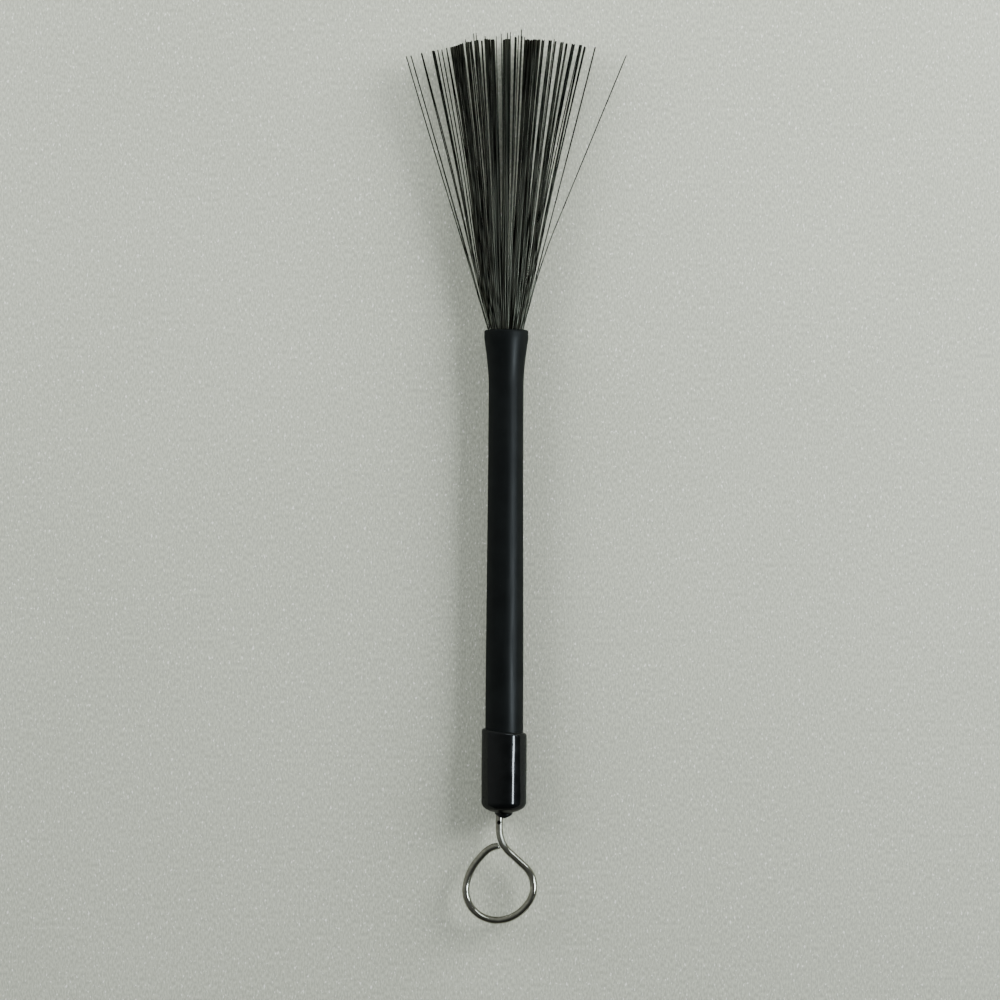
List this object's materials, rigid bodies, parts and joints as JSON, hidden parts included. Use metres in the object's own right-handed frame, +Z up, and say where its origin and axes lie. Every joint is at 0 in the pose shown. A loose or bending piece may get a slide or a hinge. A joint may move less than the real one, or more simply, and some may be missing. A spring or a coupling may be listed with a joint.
{
  "type": "retractable wire drum brush",
  "caption": "Retractable wire brush for playing drums: a rubber-gripped tube, a flat fan of thin steel wires, and a pull rod with a finger loop that draws the wires inside.",
  "frame": {"origin": "middle of the bounding box, on the surface the brush lies on; the handle's axis runs at x = 0, 8.25 mm up", "axes": "+Y along the handle's axis towards the wire tips, the finger loop is at -Y; +Z up from the surface; the fan and the loop lie parallel to the XY plane"},
  "size_m": [0.077, 0.3254, 0.0165],
  "materials": {
    "aluminium_tube": "drawn, satin",
    "rubber_grip": "matt moulded rubber",
    "vinyl_cap": "dipped vinyl, glossy",
    "nylon_bush": "moulded nylon",
    "rubber_ring": "smooth rubber",
    "plated_rod": "nickel plated wire",
    "brass_carrier": "turned brass",
    "steel_ferrule": "rolled and crimped",
    "steel_wire": "hard drawn spring steel, oiled dark"
  },
  "bodies": {
    "handle": {"handle_tube": "aluminium_tube", "grip_sleeve": "rubber_grip", "end_cap": "vinyl_cap", "guide_bush": "nylon_bush"},
    "friction_ring": {"friction_ring": "rubber_ring"},
    "pull_rod": {"pull_rod": "plated_rod", "wire_carrier": "brass_carrier", "clamp_ferrule": "steel_ferrule", "stop_bumper": "rubber_ring", "wire_row_01": "steel_wire", "wire_row_02": "steel_wire", "wire_row_03": "steel_wire", "wire_row_04": "steel_wire", "wire_row_05": "steel_wire", "wire_row_06": "steel_wire", "wire_row_07": "steel_wire", "wire_row_08": "steel_wire", "wire_row_09": "steel_wire", "wire_row_10": "steel_wire", "wire_row_11": "steel_wire", "wire_row_12": "steel_wire", "wire_row_13": "steel_wire", "wire_row_14": "steel_wire", "wire_row_15": "steel_wire", "wire_row_16": "steel_wire", "wire_row_17": "steel_wire"}
  },
  "joints": [
    {"name": "pull_slide", "type": "slide", "parent": "handle", "child": "friction_ring", "axis": [0, -1, 0], "range_m": [0, 0.112], "deforming": ["wire_row_01", "wire_row_02", "wire_row_03", "wire_row_04", "wire_row_05", "wire_row_06", "wire_row_07", "wire_row_08", "wire_row_09", "wire_row_10", "wire_row_11", "wire_row_12", "wire_row_13", "wire_row_14", "wire_row_15", "wire_row_16", "wire_row_17"]},
    {"name": "rod_turn", "type": "hinge", "parent": "friction_ring", "child": "pull_rod", "pos_m": [0, 0.01762, 0.00825], "axis": [0, 1, 0], "continuous": true}
  ]
}
